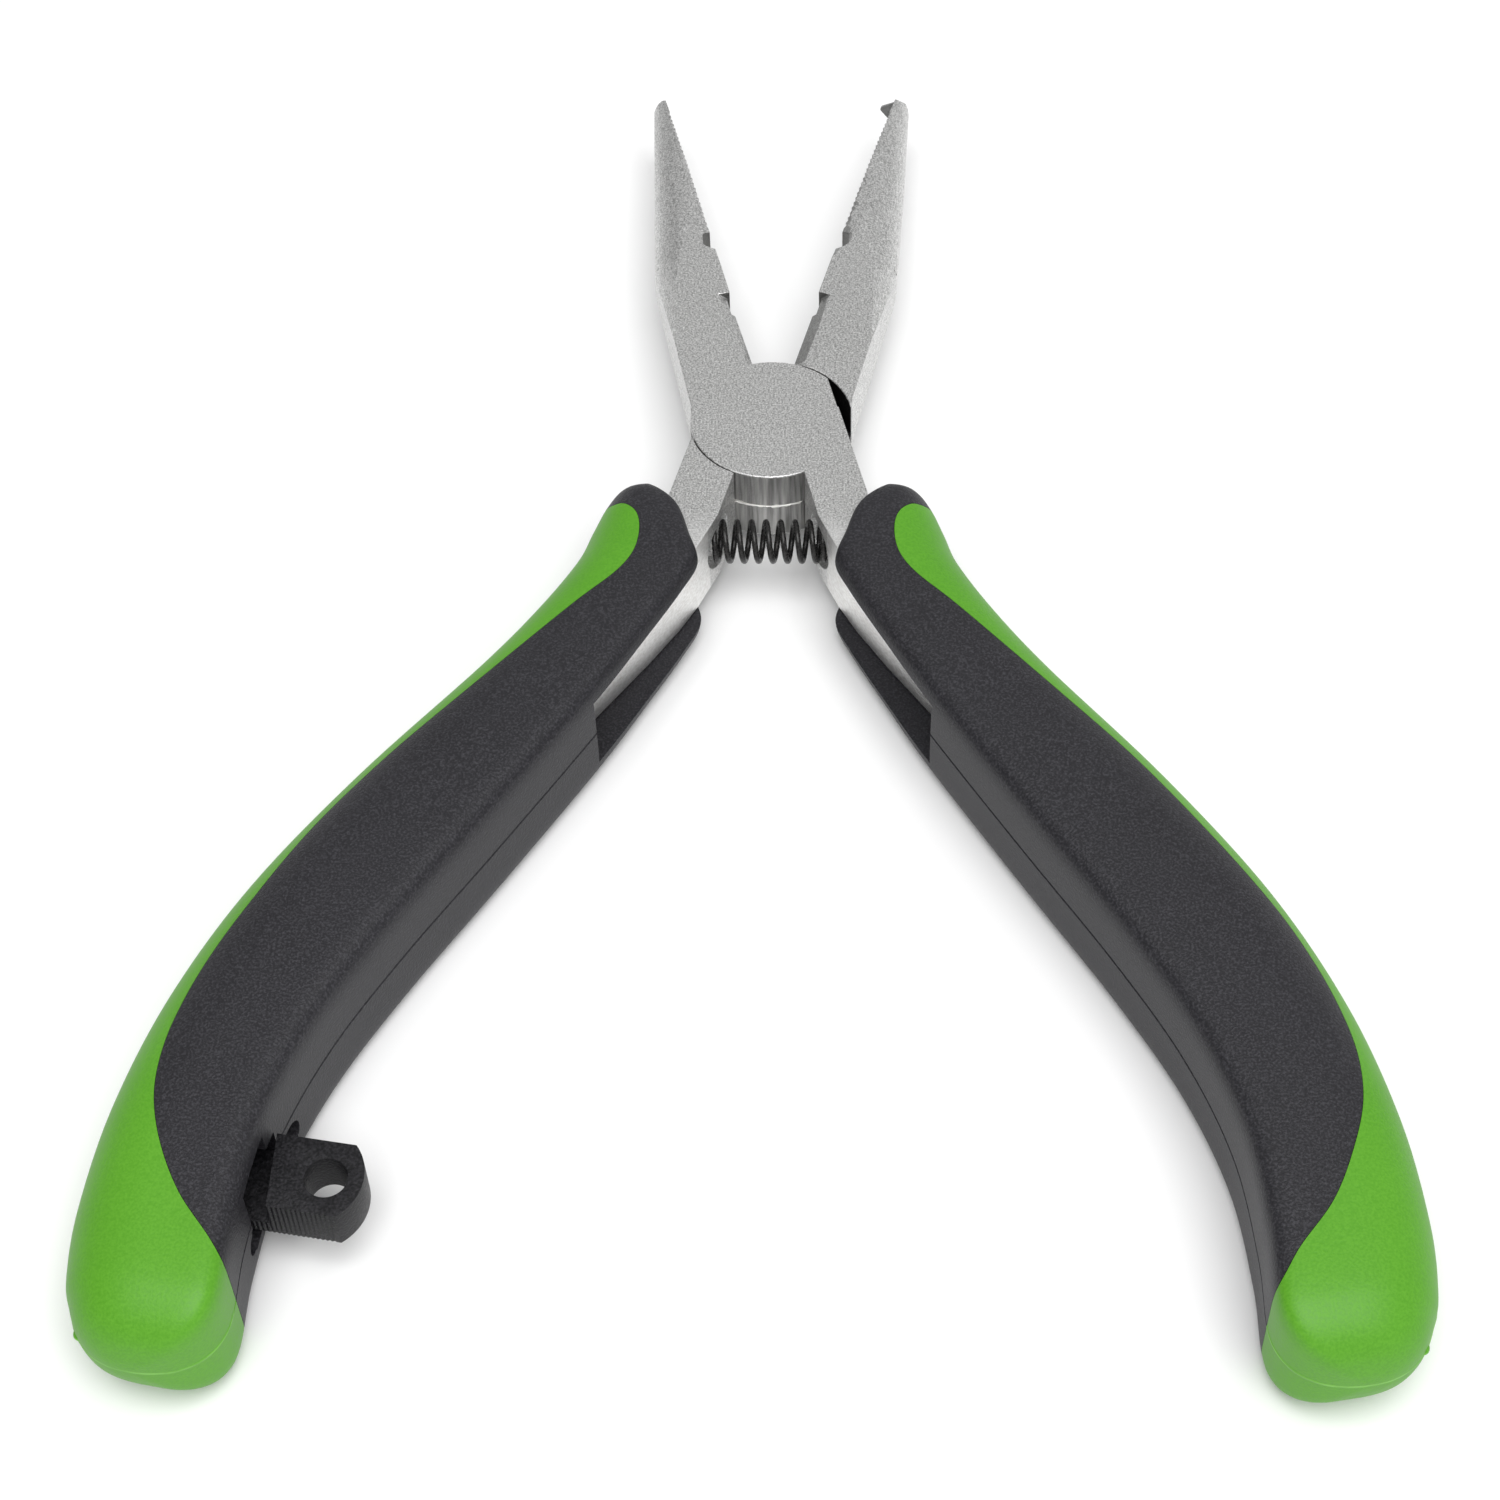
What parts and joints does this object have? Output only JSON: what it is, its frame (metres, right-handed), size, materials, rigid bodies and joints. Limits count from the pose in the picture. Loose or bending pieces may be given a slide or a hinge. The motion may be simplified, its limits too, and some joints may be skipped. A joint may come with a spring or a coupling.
{
  "type": "split-ring fishing pliers",
  "caption": "Small sprung needle-nose pliers with a split-ring tooth, a side cutter, two-colour handles and a lanyard eye.",
  "frame": {"origin": "under the middle of the open tool's box, on the surface it lies on", "axes": "+Y from the handles towards the jaw tips, +X to the right of the front face, +Z out of the front face"},
  "size_m": [0.0964, 0.1331, 0.012],
  "materials": {
    "blasted_steel": "bead-blasted satin nickel",
    "spring_steel": "black oxide wire",
    "charcoal_plastic": "fine moulded grain",
    "green_rubber": "smooth soft-touch rubber",
    "black_plastic": "coarse moulded grain"
  },
  "bodies": {
    "rear_half": {"rear_lever": "blasted_steel", "left_grip_shell": "charcoal_plastic", "left_grip_inlay": "green_rubber", "lanyard_lug": "black_plastic", "return_spring": "spring_steel"},
    "front_half": {"front_lever": "blasted_steel", "pivot_rivet": "blasted_steel", "right_grip_shell": "charcoal_plastic", "right_grip_inlay": "green_rubber"}
  },
  "joints": [
    {"name": "jaw_pivot", "type": "hinge", "parent": "rear_half", "child": "front_half", "pos_m": [0, 0.0221, 0.006], "axis": [0, 0, -1], "range_deg": [0, 28], "stiffness_Nm_per_rad": 0.32, "springref_deg": -4.58, "deforming": ["return_spring"]}
  ]
}
